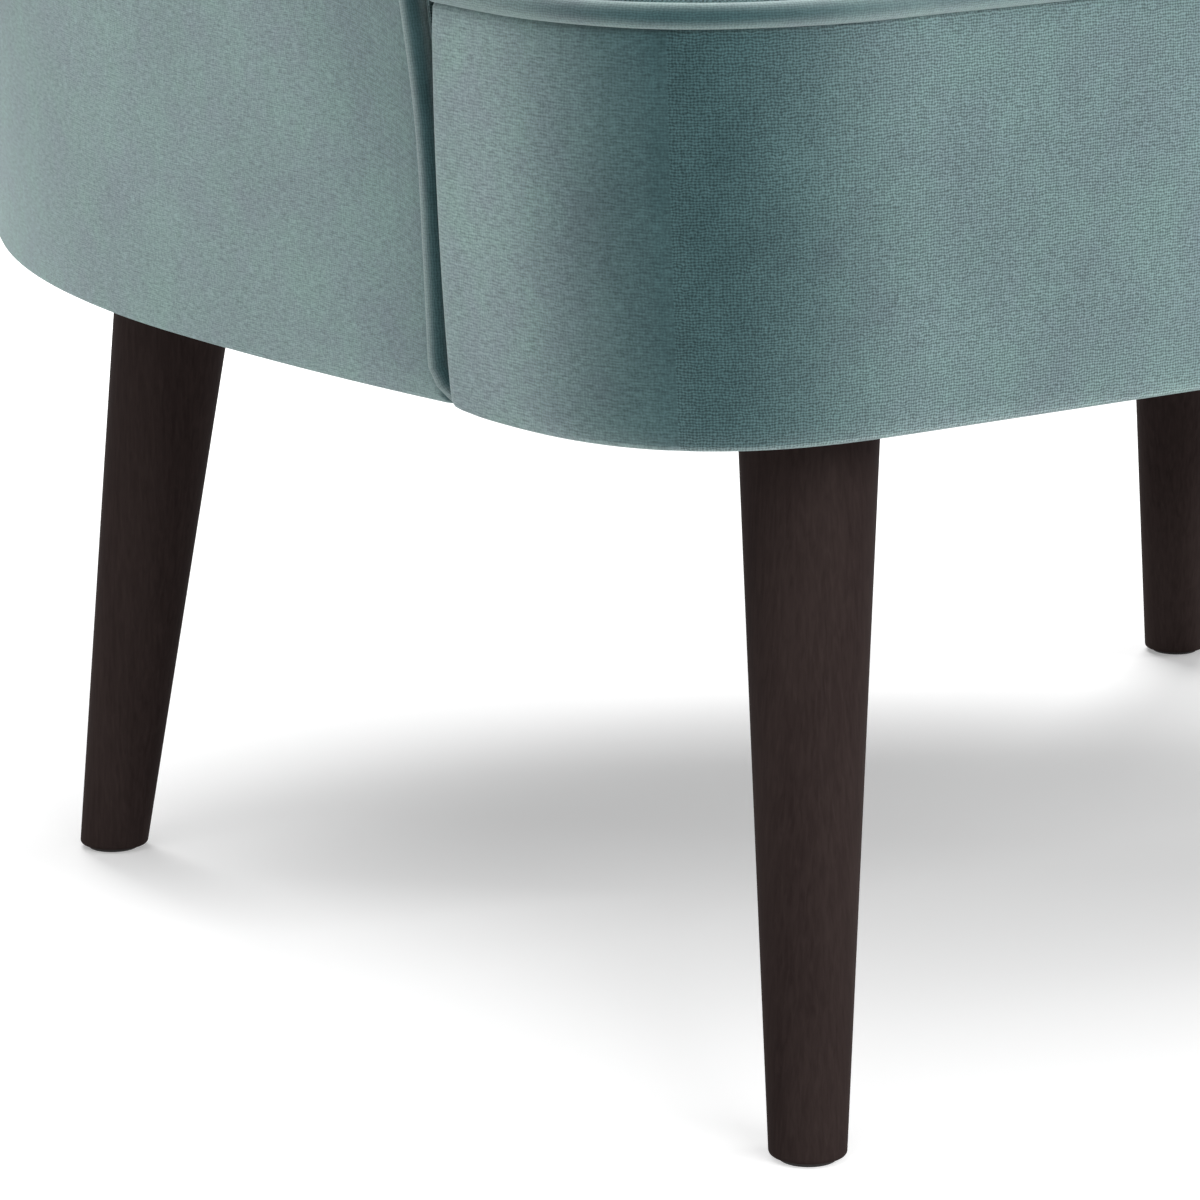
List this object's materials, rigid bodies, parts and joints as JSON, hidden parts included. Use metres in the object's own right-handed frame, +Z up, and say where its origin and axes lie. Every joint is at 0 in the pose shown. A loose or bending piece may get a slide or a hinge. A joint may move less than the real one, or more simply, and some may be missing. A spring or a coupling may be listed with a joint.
{
  "type": "accent chair",
  "caption": "Barrel-backed upholstered accent chair with a tight T-shaped seat, welted edges and splayed round tapered legs.",
  "frame": {"origin": "on the floor under the middle of the overall box", "axes": "+X to the right seen from the front, +Y to the back, +Z up"},
  "size_m": [0.7644, 0.7669, 0.79],
  "materials": {
    "velvet": "short-pile teal grey velvet",
    "velvet_welt": "velvet-covered piping",
    "stained_wood": "satin espresso stain",
    "frame_wood": "plain sawn hardwood and plywood",
    "steel": "zinc-plated steel",
    "foam": "upholstery foam and wadding",
    "felt": "pressed insulator felt",
    "webbing": "woven elastic webbing",
    "fibreboard": "bent fibreboard",
    "dust_cloth": "black non-woven cloth",
    "nylon": "moulded nylon"
  },
  "bodies": {
    "root": {"back_padding": "foam", "back_strap_1": "webbing", "back_strap_2": "webbing", "back_strap_3": "webbing", "back_strap_4": "webbing", "back_strap_5": "webbing", "back_strap_6": "webbing", "back_strap_7": "webbing", "back_strap_8": "webbing", "barrel_base_rail": "frame_wood", "centre_back_post": "frame_wood", "dust_cover": "dust_cloth", "frame_screws": "steel", "front_left_glide": "nylon", "front_left_leg": "stained_wood", "front_left_leg_block": "frame_wood", "front_rail": "frame_wood", "front_right_glide": "nylon", "front_right_leg": "stained_wood", "front_right_leg_block": "frame_wood", "hanger_bolts": "steel", "inside_back_cover": "velvet", "left_arm_padding": "foam", "left_arm_post": "frame_wood", "left_back_post": "frame_wood", "left_inside_arm_cover": "velvet", "left_nose_block": "frame_wood", "left_side_rail": "frame_wood", "nose_padding": "foam", "outer_board": "fibreboard", "outside_cover": "velvet", "rear_left_glide": "nylon", "rear_left_leg": "stained_wood", "rear_left_leg_block": "frame_wood", "rear_right_glide": "nylon", "rear_right_leg": "stained_wood", "rear_right_leg_block": "frame_wood", "rear_spring_rail": "frame_wood", "right_arm_padding": "foam", "right_arm_post": "frame_wood", "right_back_post": "frame_wood", "right_inside_arm_cover": "velvet", "right_nose_block": "frame_wood", "right_side_rail": "frame_wood", "rim_padding": "foam", "seat_border_cover": "velvet", "seat_felt": "felt", "seat_foam": "foam", "seat_spring_1": "steel", "seat_spring_2": "steel", "seat_spring_3": "steel", "seat_spring_4": "steel", "seat_spring_5": "steel", "seat_top_cover": "velvet", "seat_welt": "velvet_welt", "shell_welt": "velvet_welt", "spring_clips": "steel", "tee_nuts": "steel", "top_rail": "frame_wood"}
  },
  "joints": []
}
